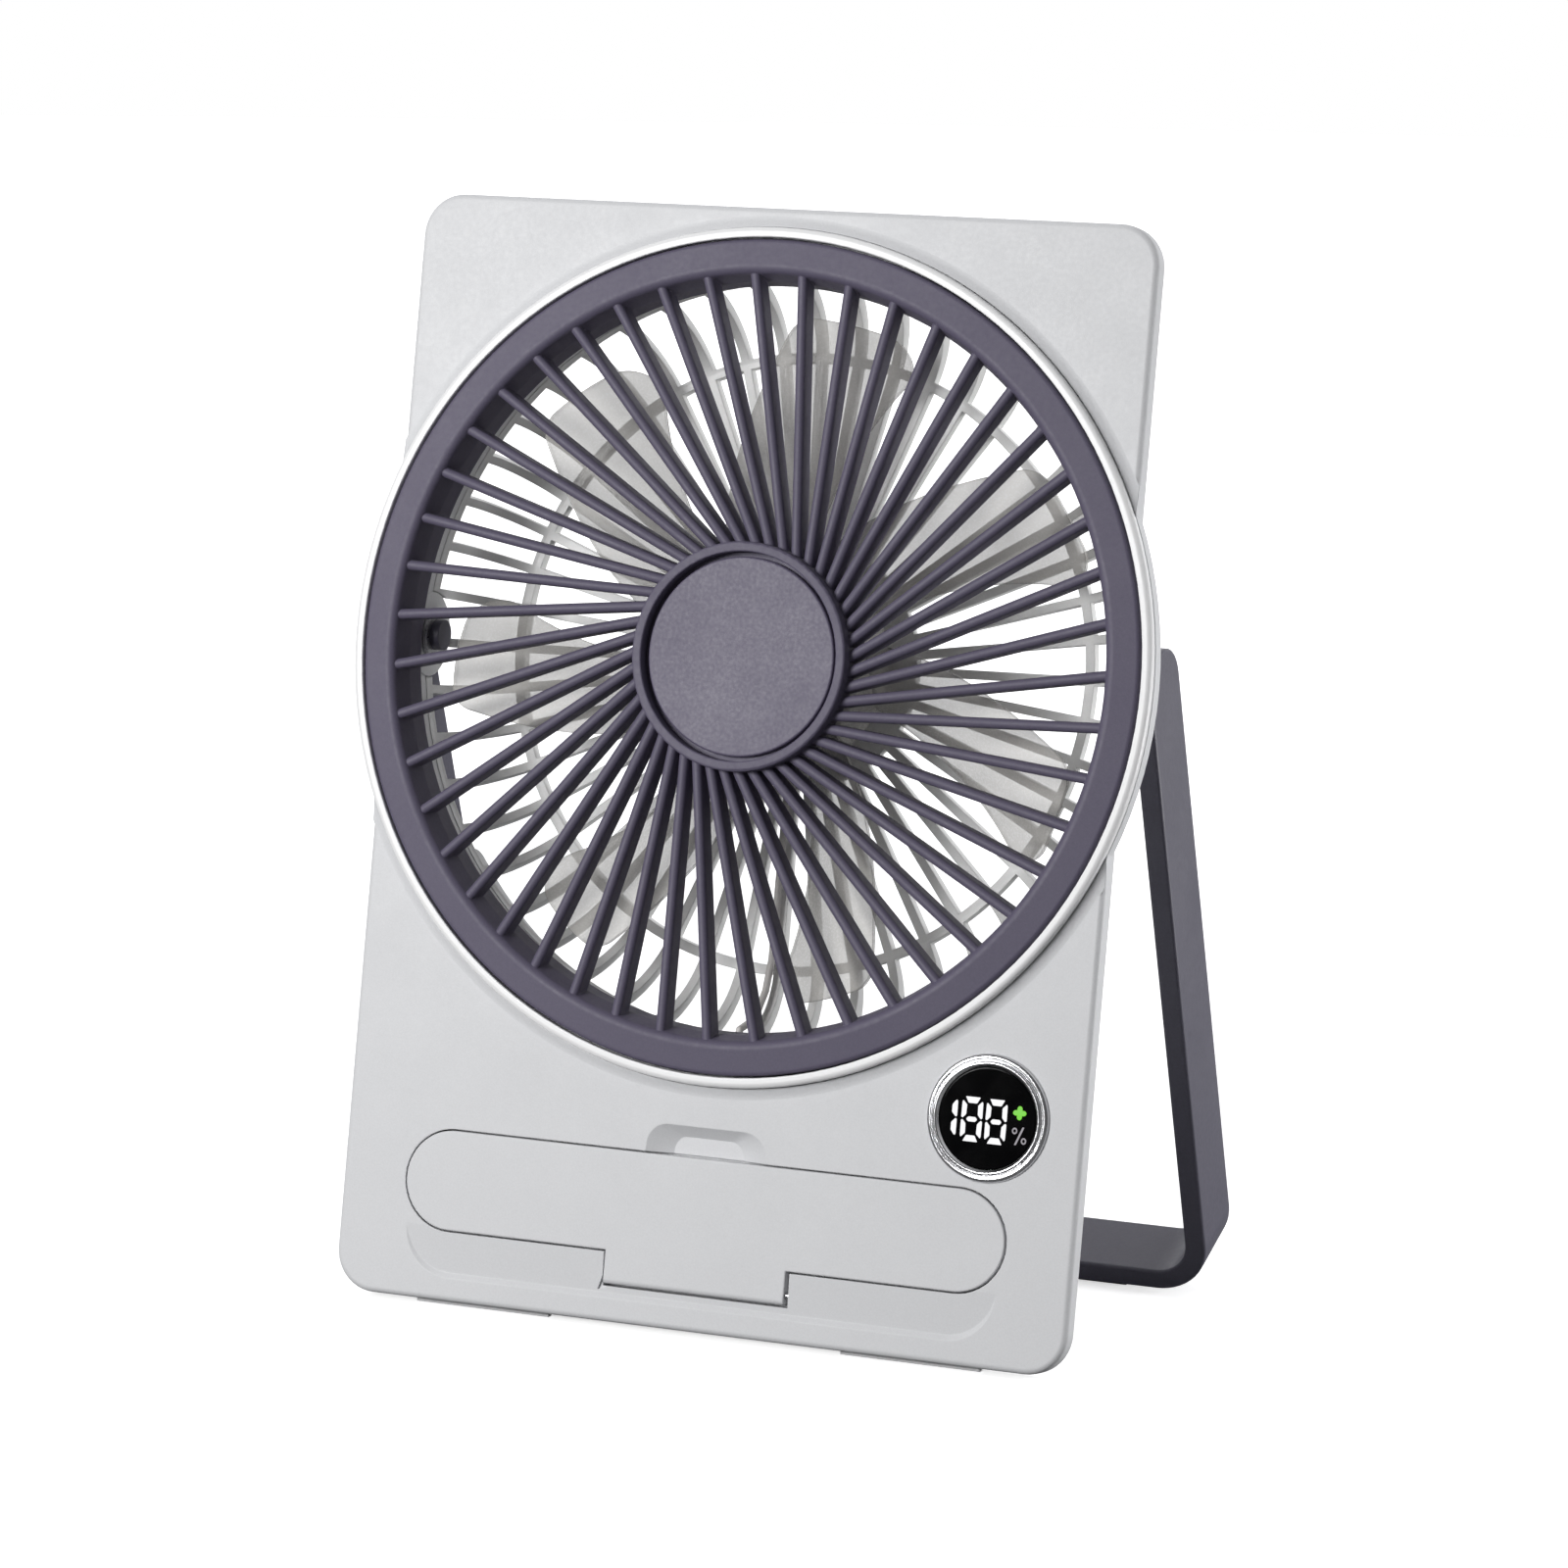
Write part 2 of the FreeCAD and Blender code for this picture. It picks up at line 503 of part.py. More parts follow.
# ------------------------------------------------------------ motor, turning half
nodes["motor_shaft"] = cyl(1.5, -27.0, -3.4)
nodes["rotor_magnet"] = ring(15.6, 14.0, -22.4, -12.4)
nodes["rotor_cup"] = one(lathe([(1.52, -9.8), (3.2, -9.8), (3.2, -9.2), (15.65, -9.2), (15.65, -22.8), (16.6, -22.8),
                                (16.6, -8.2), (1.52, -8.2)]))


def blade_edges(r):
    """Leading and trailing edge angle of a blade at radius r, in degrees."""
    t = (r - 38.0) / 27.0
    lead = 2.6 - 8.4 * t - 1.8 * t * t
    trail = 29.0 - 17.5 * t + 3.2 * t * t
    return lead, trail


Z_LEAD, Z_TRAIL = -20.0, -7.2


def blade_z(r, s):
    pitch = (Z_TRAIL - Z_LEAD) * (0.86 + 0.14 * (65.0 - r) / 45.0)
    zm = (Z_LEAD + Z_TRAIL) / 2
    return zm + pitch * (s - 0.5) + 2.0 * math.sin(math.pi * min(max(s, 0.0), 1.0)) - 1.0


NR, NS = 9, 9
RAD = [18.6 + (67.5 - 18.6) * i / (NR - 1) for i in range(NR)]


def blade_grid(dz):
    g = []
    for r in RAD:
        le, te = blade_edges(r)
        row = []
        for j in range(NS):
            s = -0.12 + 1.24 * j / (NS - 1)
            a = math.radians(le + (te - le) * s)
            row.append(V(r * math.cos(a), r * math.sin(a), blade_z(r, s) + dz))
        g.append(row)
    return g


def blade_solid(t=1.25):
    hi, lo = Part.BSplineSurface(), Part.BSplineSurface()
    hi.interpolate(blade_grid(t / 2))
    lo.interpolate(blade_grid(-t / 2))
    fh, fl = hi.toShape(), lo.toShape()
    u0, u1, v0, v1 = hi.bounds()
    faces = [fh, fl]
    for ch, cl in ((hi.uIso(u0), lo.uIso(u0)), (hi.uIso(u1), lo.uIso(u1)),
                   (hi.vIso(v0), lo.vIso(v0)), (hi.vIso(v1), lo.vIso(v1))):
        faces.append(Part.makeRuledSurface(ch.toShape(), cl.toShape()))
    sh = Part.makeShell(faces)
    sh.sewShape()
    so = Part.makeSolid(sh)
    if so.Volume < 0:
        so.reverse()
    return so


def plan_face():
    """Plan outline of a blade with rounded tip corners."""
    n = 14
    lead, trail = [], []
    for i in range(n):
        r = 19.2 + (BLADE_TIP - 0.0 - 19.2) * i / (n - 1)
        le, te = blade_edges(r)
        lead.append(V(r * math.cos(math.radians(le)), r * math.sin(math.radians(le)), 0))
        trail.append(V(r * math.cos(math.radians(te)), r * math.sin(math.radians(te)), 0))
    cl = Part.BSplineCurve(); cl.interpolate(lead)
    ct = Part.BSplineCurve(); ct.interpolate(trail)
    am = 0.5 * (blade_edges(BLADE_TIP)[0] + blade_edges(BLADE_TIP)[1])
    tip = Part.Arc(lead[-1], V(BLADE_TIP * math.cos(math.radians(am)), BLADE_TIP * math.sin(math.radians(am)), 0), trail[-1])
    root = Part.makeLine(trail[0], lead[0])
    w = Part.Wire([cl.toShape(), tip.toShape(), ct.toShape(), root])
    return Part.Face(w)


plan = plan_face().extrude(V(0, 0, 40))
plan.translate(V(0, 0, -35))


def near_tip(e):
    c = e.CenterOfMass
    return abs(e.BoundBox.ZLength - 40) < 1e-3 and math.hypot(c.x, c.y) > 60 and e.BoundBox.XLength < 1e-3


plan = try_fillet(plan, 5.5, near_tip)
blade = blade_solid().common(plan)
blade = one(blade)
blade.translate(AXIS)
sleeve = lathe([(16.65, -21.5), (HUB_SLEEVE, -21.5), (HUB_SLEEVE, -7.6), (HUB_SLEEVE - 1.9, -5.7), (1.6, -5.7),
                (1.6, -8.15), (16.65, -8.15)])
fan = sleeve.multiFuse([turned(blade, BLADE_PHASE + i * 360.0 / BLADES) for i in range(BLADES)])
fan = fan.cut(cyl(16.65, -40, -8.15)).cut(cyl(1.6, -40, 0))
nodes["impeller"] = one(fan)
nodes["impeller_nut"] = one(cyl(3.2, -5.65, -2.9).cut(cyl(1.52, -40, -3.3)))

# ------------------------------------------------------------ display
dring = revolve([
    line((LENS_R + 0.1, -1.9), (LENS_R + 0.1, 0.55)),
    line((LENS_R + 0.1, 0.55), (LENS_R + 0.45, 1.0)),
    arc((LENS_R + 0.45, 1.0), (LENS_R + 0.8, 1.1), (LENS_R + 1.1, 0.85)),
    arc((LENS_R + 1.1, 0.85), (LENS_R + 1.32, 0.66), (LENS_R + 1.55, 0.8)),
    arc((LENS_R + 1.55, 0.8), (DISP_R - 0.3, 0.7), (DISP_R, 0.02)),
    line((DISP_R, 0.02), (11.2, 0.02)), line((11.2, 0.02), (11.2, -1.9)),
    line((11.2, -1.9), (LENS_R + 0.1, -1.9)),
])
dring.translate(V(DISP_X, DISP_Y - DRUM_Y, 0))
nodes["display_ring"] = dring
lens = cyl(LENS_R, -1.6, 0.5, DISP_X, DISP_Y)
lens = try_fillet(lens, 0.25, lambda e: flat_at(e, 0.5))
nodes["display_lens"] = lens
nodes["display_board"] = cyl(10.6, -4.0, -2.6, DISP_X, DISP_Y)

# ------------------------------------------------------------ phone ledge
fy, fr = (FLAP_Y0 + FLAP_Y1) / 2, (FLAP_Y1 - FLAP_Y0) / 2
flap = pill(-FLAP_HALF, FLAP_HALF, fy, fr, -FLAP_T, 0)
tab = box(-18.55, 18.55, HINGE_Y - 1.8, FLAP_Y0 + 3, -FLAP_T, 0)
flap = flap.fuse(tab).removeSplitter()
flap = try_fillet(flap, 0.9, lambda e: abs(e.CenterOfMass.y - (HINGE_Y - 1.8)) < 1e-3 and e.Length > 30)
flap = try_fillet(flap, 0.3, lambda e: flat_at(e, 0) and e.CenterOfMass.y > HINGE_Y + 0.5)
flap = flap.cut(xcyl(0.66, -40, 40, HINGE_Y, HINGE_Z))
nodes["phone_ledge"] = one(flap)
nodes["ledge_hinge_pin"] = xcyl(0.6, -23.3, 23.8, HINGE_Y, HINGE_Z)

# ------------------------------------------------------------ strap stand
ri_, ro_ = 6.8, 11.0
so_, si_ = STRAP_OUT, STRAP_OUT - STRAP_T
L, Li = STRAP_L, STRAP_L - STRAP_T


def u_wire(half, bottom, r, top_):
    k = r * (1 - math.sqrt(0.5))
    return [
        Part.makeLine(V(-half, top_, 0), V(-half, -bottom + r, 0)),
        Part.Arc(V(-half, -bottom + r, 0), V(-half + k, -bottom + k, 0), V(-half + r, -bottom, 0)).toShape(),
        Part.makeLine(V(-half + r, -bottom, 0), V(half - r, -bottom, 0)),
        Part.Arc(V(half - r, -bottom, 0), V(half - k, -bottom + k, 0), V(half, -bottom + r, 0)).toShape(),
        Part.makeLine(V(half, -bottom + r, 0), V(half, top_, 0)),
    ]


TOPY = 9.0
we = u_wire(so_, L, ro_, TOPY) + u_wire(si_, Li, ri_, TOPY) + [
    Part.makeLine(V(-so_, TOPY, 0), V(-si_, TOPY, 0)), Part.makeLine(V(so_, TOPY, 0), V(si_, TOPY, 0))]
uface = Part.Face(Part.Wire(Part.__sortEdges__(we)))
strap = uface.extrude(V(0, 0, STRAP_W))
strap.translate(V(0, 0, -STRAP_W / 2))
keep = box(-90, 90, -140, 0, -20, 20).fuse(xcyl(STRAP_W / 2, -90, 90, 0, 0))
strap = one(strap.common(keep))
strap = try_fillet(strap, 0.55, lambda e: abs(abs(e.CenterOfMass.z) - STRAP_W / 2) < 1e-3)
for s in (-1, 1):
    a, b = sorted((s * (si_ - 1), s * (si_ + 2.3)))
    strap = strap.cut(xcyl(PIN_R, a, b, 0, 0))
# floor plane seen from the strap's own frame
TA = math.radians(STRAP_ANGLE - LEAN)
CF = -PANEL_T * math.sin(math.radians(LEAN)) - FLOOR_GAP
PC = DRUM_Y * math.cos(math.radians(LEAN)) + PIVOT_Z * math.sin(math.radians(LEAN))


def floor_y(z):
    return (CF - PC + z * math.sin(TA)) / math.cos(TA)


ga, gb = 2.2, 6.7
strap = strap.cut(box(-62, 62, -L - 1, -L + 1.0, ga, gb))
strip = poly_prism_x([(-L + 1.0, ga), (-L + 1.0, gb), (floor_y(gb), gb), (floor_y(ga), ga)], -62, 62)
pins = [xcyl(PIN_R, *sorted((s * 68.6, s * (si_ + 2.2))), 0, 0) for s in (-1, 1)]
clips = []
for s in (-1, 1):
    a, b = sorted((s * 70.4, s * 71.1))
    clips.append(xcyl(4.5, a, b, 0, 0).cut(xcyl(PIN_R + 0.01, a - 1, b + 1, 0, 0)))


def to_panel(s):
    s = s.copy()
    s.rotate(V(0, 0, 0), EX, STRAP_ANGLE)
    s.translate(V(0, DRUM_Y, PIVOT_Z))
    return s


nodes["strap_stand"] = to_panel(one(strap))
nodes["stand_foot_strip"] = to_panel(strip)
nodes["stand_pivot_pins"] = Part.makeCompound([to_panel(p) for p in pins])
nodes["stand_pivot_clips"] = Part.makeCompound([to_panel(p) for p in clips])
ws = []
for s in (-1, 1):
    a, b = sorted((s * 75.13, s * 75.47))
    ws.append(xcyl(6.6, a, b, DRUM_Y, PIVOT_Z).cut(xcyl(3.15, a - 1, b + 1, DRUM_Y, PIVOT_Z)))
nodes["stand_washers"] = Part.makeCompound(ws)

# ------------------------------------------------------------ base pads
CB, SB = math.cos(math.radians(LEAN)), math.sin(math.radians(LEAN))


def pad_y(z):
    return (CF - z * SB) / CB


nodes["base_pads"] = Part.makeCompound([
    poly_prism_x([(0.8, -2.1), (0.8, -3.5), (pad_y(-3.5), -3.5), (pad_y(-2.1), -2.1)], a + 0.05, b - 0.05) for a, b in PADS])

# ------------------------------------------------------------ electronics
nodes["battery_pack"] = rrect(-48.0, 14.0, 2.0, 46.0, 2.0, -17.5, -7.5)
nodes["main_board"] = one(box(8.0, 57.0, 15.0, 46.0, -15.6, -14.0).cut(cyl(4.8, -20, 0, 40.0, 47.5)))
usb = side_pill(4.45, 1.6, bx - 7.3, bx - 0.1, USB_Y, USB_Z).cut(side_pill(4.15, 1.3, bx - 6.1, bx + 1, USB_Y, USB_Z))
usb = usb.fuse(box(bx - 6.7, bx - 1.2, USB_Y - 3.2, USB_Y + 3.2, USB_Z - 0.35, USB_Z + 0.35))
nodes["usb_c_socket"] = one(usb)
nodes["button_switch"] = one(box(52.2, 56.4, BTN_Y - 3.0, BTN_Y + 3.0, -13.9, -9.9).fuse(xcyl(1.5, 56.4, 58.0, BTN_Y, BTN_Z)))
cap = side_pill(5.0, 2.5, bx - 2.1, bx + 1.1, BTN_Y, BTN_Z)
cap = try_fillet(cap, 0.5, lambda e: abs(e.BoundBox.XMin - bx - 1.1) < 1e-3)
cap = cap.fuse(side_pill(6.4, 3.6, bx - 3.1, bx - 2.1, BTN_Y, BTN_Z)).fuse(xcyl(1.4, bx - 4.35, bx - 3.1, BTN_Y, BTN_Z))
nodes["power_button"] = one(cap)
chips = [box(14, 21, 20, 27, -13.95, -12.9), box(28, 38, 22, 28, -13.95, -12.6), box(24, 29, 34, 39, -13.95, -11.0)]
nodes["board_chips"] = Part.makeCompound(chips)


def lead(pts, r=0.55):
    w = Part.makePolygon([V(*p) for p in pts])
    parts_ = []
    for i in range(len(pts) - 1):
        a, b = V(*pts[i]), V(*pts[i + 1])
        d = b.sub(a)
        parts_.append(Part.makeCylinder(r, d.Length, a, d))
        if i:
            parts_.append(Part.makeSphere(r, a))
    s = parts_[0]
    for q in parts_[1:]:
        s = s.fuse(q)
    return one(s)


leads = [
    lead([(2.1, 24, -10), (5, 24, -10), (5, 24, -12.6), (12, 31, -12.6)]),
    lead([(2.1, 36, -10), (6, 36, -10), (6, 36, -12.6), (16, 36, -12.6)]),
    lead([(44, 38, -13.3), (47, 41, -9), (54.5, 44.5, -6), (54.5, 44.5, -4.05)]),
]
nodes["internal_leads"] = Part.makeCompound(leads)
ML = [(14.1, -26.4), (57.0, -25.8), (63.2, -24.0), (67.0, -20.9), (69.4, -16.8), (70.6, LEAD_Z), (80.0, LEAD_Z)]
nodes["motor_lead"] = lead([(0, DRUM_Y - r, z) for r, z in ML] + [(9, 47.0, LEAD_Z), (12, 42, -13.2)], 0.7)

# ------------------------------------------------------------ stand the fan up
place = FreeCAD.Placement(V(0, 0, 0), FreeCAD.Rotation(EX, 90.0 - LEAN))
final = {}
for n, s in nodes.items():
    s = s.copy()
    s.Placement = place.multiply(s.Placement)
    final[n] = s
bf = final["front_panel"].optimalBoundingBox(False, False)
bs = final["strap_stand"].optimalBoundingBox(False, False)
SHIFT = V(0, -(bf.YMin + bs.YMax) / 2, -CF)
for n, s in final.items():
    s.translate(SHIFT)
    s.exportStep("parts/" + n + ".step")
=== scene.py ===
import json
import math

import bmesh
import bpy
from mathutils import Matrix, Vector


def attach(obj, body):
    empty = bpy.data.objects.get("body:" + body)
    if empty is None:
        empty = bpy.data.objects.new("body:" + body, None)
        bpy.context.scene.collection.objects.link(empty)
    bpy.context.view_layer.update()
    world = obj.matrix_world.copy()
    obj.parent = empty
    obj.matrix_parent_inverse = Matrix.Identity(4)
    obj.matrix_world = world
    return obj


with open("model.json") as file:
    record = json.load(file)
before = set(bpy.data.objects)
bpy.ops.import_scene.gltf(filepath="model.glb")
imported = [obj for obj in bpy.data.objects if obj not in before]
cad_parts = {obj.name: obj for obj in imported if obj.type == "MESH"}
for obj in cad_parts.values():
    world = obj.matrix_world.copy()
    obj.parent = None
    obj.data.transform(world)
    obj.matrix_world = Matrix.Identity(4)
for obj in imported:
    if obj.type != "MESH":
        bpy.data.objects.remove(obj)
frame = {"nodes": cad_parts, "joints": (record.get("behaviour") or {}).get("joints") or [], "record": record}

scene = bpy.context.scene
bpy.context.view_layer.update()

# ---------------------------------------------------------------- panel frame
# x to the right, y up along the leaning panel, z out of its front face, in mm from the
# bottom middle of the front face. The fan's own axis gives the panel's place and lean.
spin = next(j for j in frame["joints"] if j["name"] == "fan_spin")
NORMAL = Vector(spin["axis"]).normalized()
RIGHT = Vector((1.0, 0.0, 0.0))
UP = NORMAL.cross(RIGHT).normalized()
DRUM_Y = 127.8
ANCHOR = Vector(spin["pos_m"])


def P(x, y, z):
    return ANCHOR + (RIGHT * x + UP * (y - DRUM_Y) + NORMAL * z) / 1000.0


PANEL = Matrix((
    (RIGHT.x / 1000, UP.x / 1000, NORMAL.x / 1000, P(0, 0, 0).x),
    (RIGHT.y / 1000, UP.y / 1000, NORMAL.y / 1000, P(0, 0, 0).y),
    (RIGHT.z / 1000, UP.z / 1000, NORMAL.z / 1000, P(0, 0, 0).z),
    (0, 0, 0, 1)))


# ---------------------------------------------------------------- node helpers
class Tree:
    """One material with a single Principled shader fed by procedural nodes in object space, in metres."""

    def __init__(self, name):
        self.mat = bpy.data.materials.new(name)
        self.mat.use_nodes = True
        self.nt = self.mat.node_tree
        self.nt.nodes.clear()
        self.out = self.add("ShaderNodeOutputMaterial")
        self.bsdf = self.add("ShaderNodeBsdfPrincipled")
        self.link(self.bsdf.outputs[0], self.out.inputs[0])
        self.co = self.add("ShaderNodeTexCoord").outputs["Object"]

    def add(self, kind, **props):
        n = self.nt.nodes.new(kind)
        for k, v in props.items():
            setattr(n, k, v)
        return n

    def link(self, a, b):
        self.nt.links.new(a, b)

    def put(self, value, socket):
        if isinstance(value, bpy.types.NodeSocket):
            self.link(value, socket)
        else:
            socket.default_value = value

    def stretch(self, scale, rot=(0, 0, 0), loc=(0, 0, 0)):
        m = self.add("ShaderNodeMapping")
        self.link(self.co, m.inputs["Vector"])
        m.inputs["Scale"].default_value = scale
        m.inputs["Rotation"].default_value = rot
        m.inputs["Location"].default_value = loc
        return m.outputs[0]

    def noise(self, scale, detail=2.0, rough=0.5, co=None, distort=0.0):
        n = self.add("ShaderNodeTexNoise")
        self.link(co or self.co, n.inputs["Vector"])
        n.inputs["Scale"].default_value = scale
        n.inputs["Detail"].default_value = detail
        n.inputs["Roughness"].default_value = rough
        n.inputs["Distortion"].default_value = distort
        return n.outputs["Fac"] if "Fac" in n.outputs else n.outputs[0]

    def cells(self, scale, co=None, feature="F1", out="Distance"):
        n = self.add("ShaderNodeTexVoronoi", feature=feature)
        self.link(co or self.co, n.inputs["Vector"])
        n.inputs["Scale"].default_value = scale
        return n.outputs[out]

    def wave(self, scale, co=None, distort=0.0, detail=0.0, direction="X", kind="BANDS"):
        n = self.add("ShaderNodeTexWave", wave_type=kind)
        if kind == "BANDS":
            n.bands_direction = direction
        else:
            n.rings_direction = direction
        self.link(co or self.co, n.inputs["Vector"])
        n.inputs["Scale"].default_value = scale
        n.inputs["Distortion"].default_value = distort
        n.inputs["Detail"].default_value = detail
        return n.outputs["Fac"]

    def span(self, value, a, b, c, d, smooth=False):
        n = self.add("ShaderNodeMapRange")
        n.interpolation_type = "SMOOTHSTEP" if smooth else "LINEAR"
        self.put(value, n.inputs["Value"])
        for k, v in zip(("From Min", "From Max", "To Min", "To Max"), (a, b, c, d)):
            n.inputs[k].default_value = v
        return n.outputs[0]

    def math(self, op, a, b=0.0, clamp=False):
        n = self.add("ShaderNodeMath", operation=op, use_clamp=clamp)
        self.put(a, n.inputs[0])
        self.put(b, n.inputs[1])
        return n.outputs[0]

    def mix(self, fac, a, b, mode="MIX"):
        n = self.add("ShaderNodeMix", data_type="RGBA", blend_type=mode)
        self.put(fac, n.inputs[0])
        self.put(tuple(a) + (1,) if isinstance(a, (tuple, list)) and len(a) == 3 else a, n.inputs[6])
        self.put(tuple(b) + (1,) if isinstance(b, (tuple, list)) and len(b) == 3 else b, n.inputs[7])
        return n.outputs[2]

    def soft_edge(self, radius, samples=4):
        """A normal rounded over sharp edges, and a mask that is 1 on them."""
        b = self.add("ShaderNodeBevel", samples=samples)
        b.inputs["Radius"].default_value = radius
        g = self.add("ShaderNodeNewGeometry")
        d = self.add("ShaderNodeVectorMath", operation="DOT_PRODUCT")
        self.link(b.outputs[0], d.inputs[0])
        self.link(g.outputs["Normal"], d.inputs[1])
        mask = self.span(d.outputs["Value"], 0.999, 0.86, 0.0, 1.0)
        return b.outputs[0], mask

    def bump(self, height, strength, distance, normal=None):
        n = self.add("ShaderNodeBump")
        n.inputs["Strength"].default_value = strength
        n.inputs["Distance"].default_value = distance
        self.link(height, n.inputs["Height"])
        if normal is not None:
            self.link(normal, n.inputs["Normal"])
        return n.outputs[0]

    def set(self, **sockets):
        for k, v in sockets.items():
            name = k.replace("_", " ")
            self.put(v, self.bsdf.inputs[name])
        return self.mat


def scaled(c, k):
    return tuple(min(1.0, x * k) for x in c)


def plastic(name, colour, rough, grain=0.03, grain_scale=2400.0, mottle=0.03, bump=0.25, depth=0.00003,
            edge_highlight=0.12, edge_radius=0.00035, spec=0.5, flow=0.0, specks=0.0, rough_vary=0.05, coat=0.0):
    """Moulded plastic: a fine spark-eroded grain in colour, gloss and relief, broad uneven patches, and edges a little
    glossier and lightened in colour as a painted highlight."""
    t = Tree(name)
    fine = t.noise(grain_scale, 3.0, 0.65)
    broad = t.noise(38.0, 3.0, 0.55)
    wide = t.noise(9.0, 2.0, 0.5)
    c = t.mix(t.span(fine, 0.3, 0.7, 0.0, 1.0), scaled(colour, 1 - grain), scaled(colour, 1 + grain))
    c = t.mix(t.span(broad, 0.3, 0.7, 0.0, mottle * 2), c, scaled(colour, 0.90))
    c = t.mix(t.span(wide, 0.35, 0.65, 0.0, mottle), c, scaled(colour, 1.1))
    if flow:
        f = t.noise(60.0, 2.0, 0.5, co=t.stretch((1.0, 1.0, 0.12)), distort=0.6)
        c = t.mix(t.span(f, 0.45, 0.7, 0.0, flow), c, scaled(colour, 1.12))
    if specks:
        s = t.cells(1500.0)
        c = t.mix(t.span(s, 0.0, 0.16, specks, 0.0), c, scaled(colour, 0.55))
    normal, mask = t.soft_edge(edge_radius)
    # Painted highlight: edges are lightened towards 1.45 times the base colour, standing in for light caught on rounded
    # edges.
    c = t.mix(t.math("MULTIPLY", mask, edge_highlight), c, scaled(colour, 1.45))
    r = t.span(t.noise(grain_scale * 0.5, 2.0, 0.6), 0.3, 0.7, rough - rough_vary, rough + rough_vary)
    r = t.math("ADD", r, t.span(t.noise(70.0, 3.0, 0.6), 0.3, 0.7, -rough_vary * 0.6, rough_vary * 0.6))
    r = t.math("SUBTRACT", r, t.math("MULTIPLY", mask, 0.06), clamp=True)
    pits = t.math("ADD", fine, t.math("MULTIPLY", t.cells(grain_scale * 0.45), 0.35))
    n = t.bump(pits, bump, depth, normal)
    t.set(Base_Color=c, Roughness=r, Normal=n)
    t.bsdf.inputs["Specular IOR Level"].default_value = spec
    if coat:
        t.bsdf.inputs["Coat Weight"].default_value = coat
        t.bsdf.inputs["Coat Roughness"].default_value = 0.12
    return t.mat


def metal(name, colour, rough, brush=None, scale=900.0, bump=0.12, tint=0.06, edge_highlight=0.2, metallic=1.0):
    t = Tree(name)
    co = t.stretch(brush) if brush else t.co
    fine = t.noise(scale, 3.0, 0.6, co=co)
    broad = t.noise(120.0, 3.0, 0.6)
    c = t.mix(t.span(fine, 0.3, 0.7, 0, 1), scaled(colour, 1 - tint), scaled(colour, 1 + tint))
    c = t.mix(t.span(broad, 0.4, 0.75, 0.0, 0.25), c, scaled(colour, 0.82))
    normal = None
    if edge_highlight:
        normal, mask = t.soft_edge(0.0002)
        # Painted highlight: edges are lightened towards 1.3 times the base colour, standing in for light caught on
        # rounded edges.
        c = t.mix(t.math("MULTIPLY", mask, edge_highlight), c, scaled(colour, 1.3))
    r = t.span(fine, 0.3, 0.7, rough * 0.75, rough * 1.3)
    r = t.math("ADD", r, t.span(broad, 0.3, 0.7, -0.03, 0.05), clamp=True)
    n = t.bump(fine, bump, 0.00002, normal)
    t.set(Base_Color=c, Roughness=r, Normal=n)
    t.bsdf.inputs["Metallic"].default_value = metallic
    return t.mat


MATS = {}
MATS["panel_plastic"] = plastic("panel_plastic", (0.655, 0.66, 0.675), 0.50, grain=0.035, grain_scale=2600, mottle=0.02,
                                bump=0.30, depth=0.00003, edge_highlight=0.25, edge_radius=0.0003, flow=0.03, specks=0.05)
# The bezel colour is much lighter than the panel's: a little is its own whiter tone, the rest is a painted highlight
# for light on its rounded rim.
MATS["bezel_plastic"] = plastic("bezel_plastic", (0.86, 0.86, 0.865), 0.33, grain=0.012, grain_scale=3000, mottle=0.012,
                                bump=0.12, depth=0.00002, edge_highlight=0.3, edge_radius=0.00025)
MATS["grille_plastic"] = plastic("grille_plastic", (0.104, 0.092, 0.140), 0.58, grain=0.09, grain_scale=2600, mottle=0.06,
                                 bump=0.25, depth=0.00003, edge_highlight=0.35, edge_radius=0.00035, specks=0.15)
MATS["badge_plastic"] = plastic("badge_plastic", (0.108, 0.094, 0.147), 0.50, grain=0.10, grain_scale=3200, mottle=0.05,
                                bump=0.35, depth=0.00003, edge_highlight=0.3, edge_radius=0.0003, specks=0.15)
MATS["shell_plastic"] = plastic("shell_plastic", (0.76, 0.765, 0.77), 0.50, grain=0.04, grain_scale=1900, mottle=0.025,
                                bump=0.45, depth=0.00005, edge_highlight=0.25, edge_radius=0.0004, flow=0.03, specks=0.06)
MATS["cage_plastic"] = plastic("cage_plastic", (0.78, 0.78, 0.77), 0.36, grain=0.03, grain_scale=2400, mottle=0.03,
                               bump=0.25, depth=0.00003, edge_highlight=0.25, edge_radius=0.0003)
MATS["strap_plastic"] = plastic("strap_plastic", (0.086, 0.082, 0.112), 0.42, grain=0.10, grain_scale=2300, mottle=0.06,
                                bump=0.30, depth=0.00004, edge_highlight=0.4, edge_radius=0.0004, flow=0.08, specks=0.15)
MATS["button_plastic"] = plastic("button_plastic", (0.098, 0.092, 0.124), 0.38, grain=0.09, grain_scale=2600, mottle=0.05,
                                 bump=0.2, depth=0.00003, edge_highlight=0.35)
MATS["soft_light"] = plastic("soft_light", (0.62, 0.62, 0.63), 0.75, grain=0.06, grain_scale=1600, mottle=0.06, bump=0.5,
                             depth=0.00006, edge_highlight=0.1, spec=0.3)
MATS["soft_dark"] = plastic("soft_dark", (0.035, 0.034, 0.040), 0.72, grain=0.12, grain_scale=1600, mottle=0.08, bump=0.5,
                            depth=0.00006, edge_highlight=0.25, spec=0.3)
MATS["chip"] = plastic("chip", (0.022, 0.022, 0.024), 0.55, grain=0.15, grain_scale=2600, mottle=0.08, bump=0.4,
                       depth=0.00003, edge_highlight=0.4)
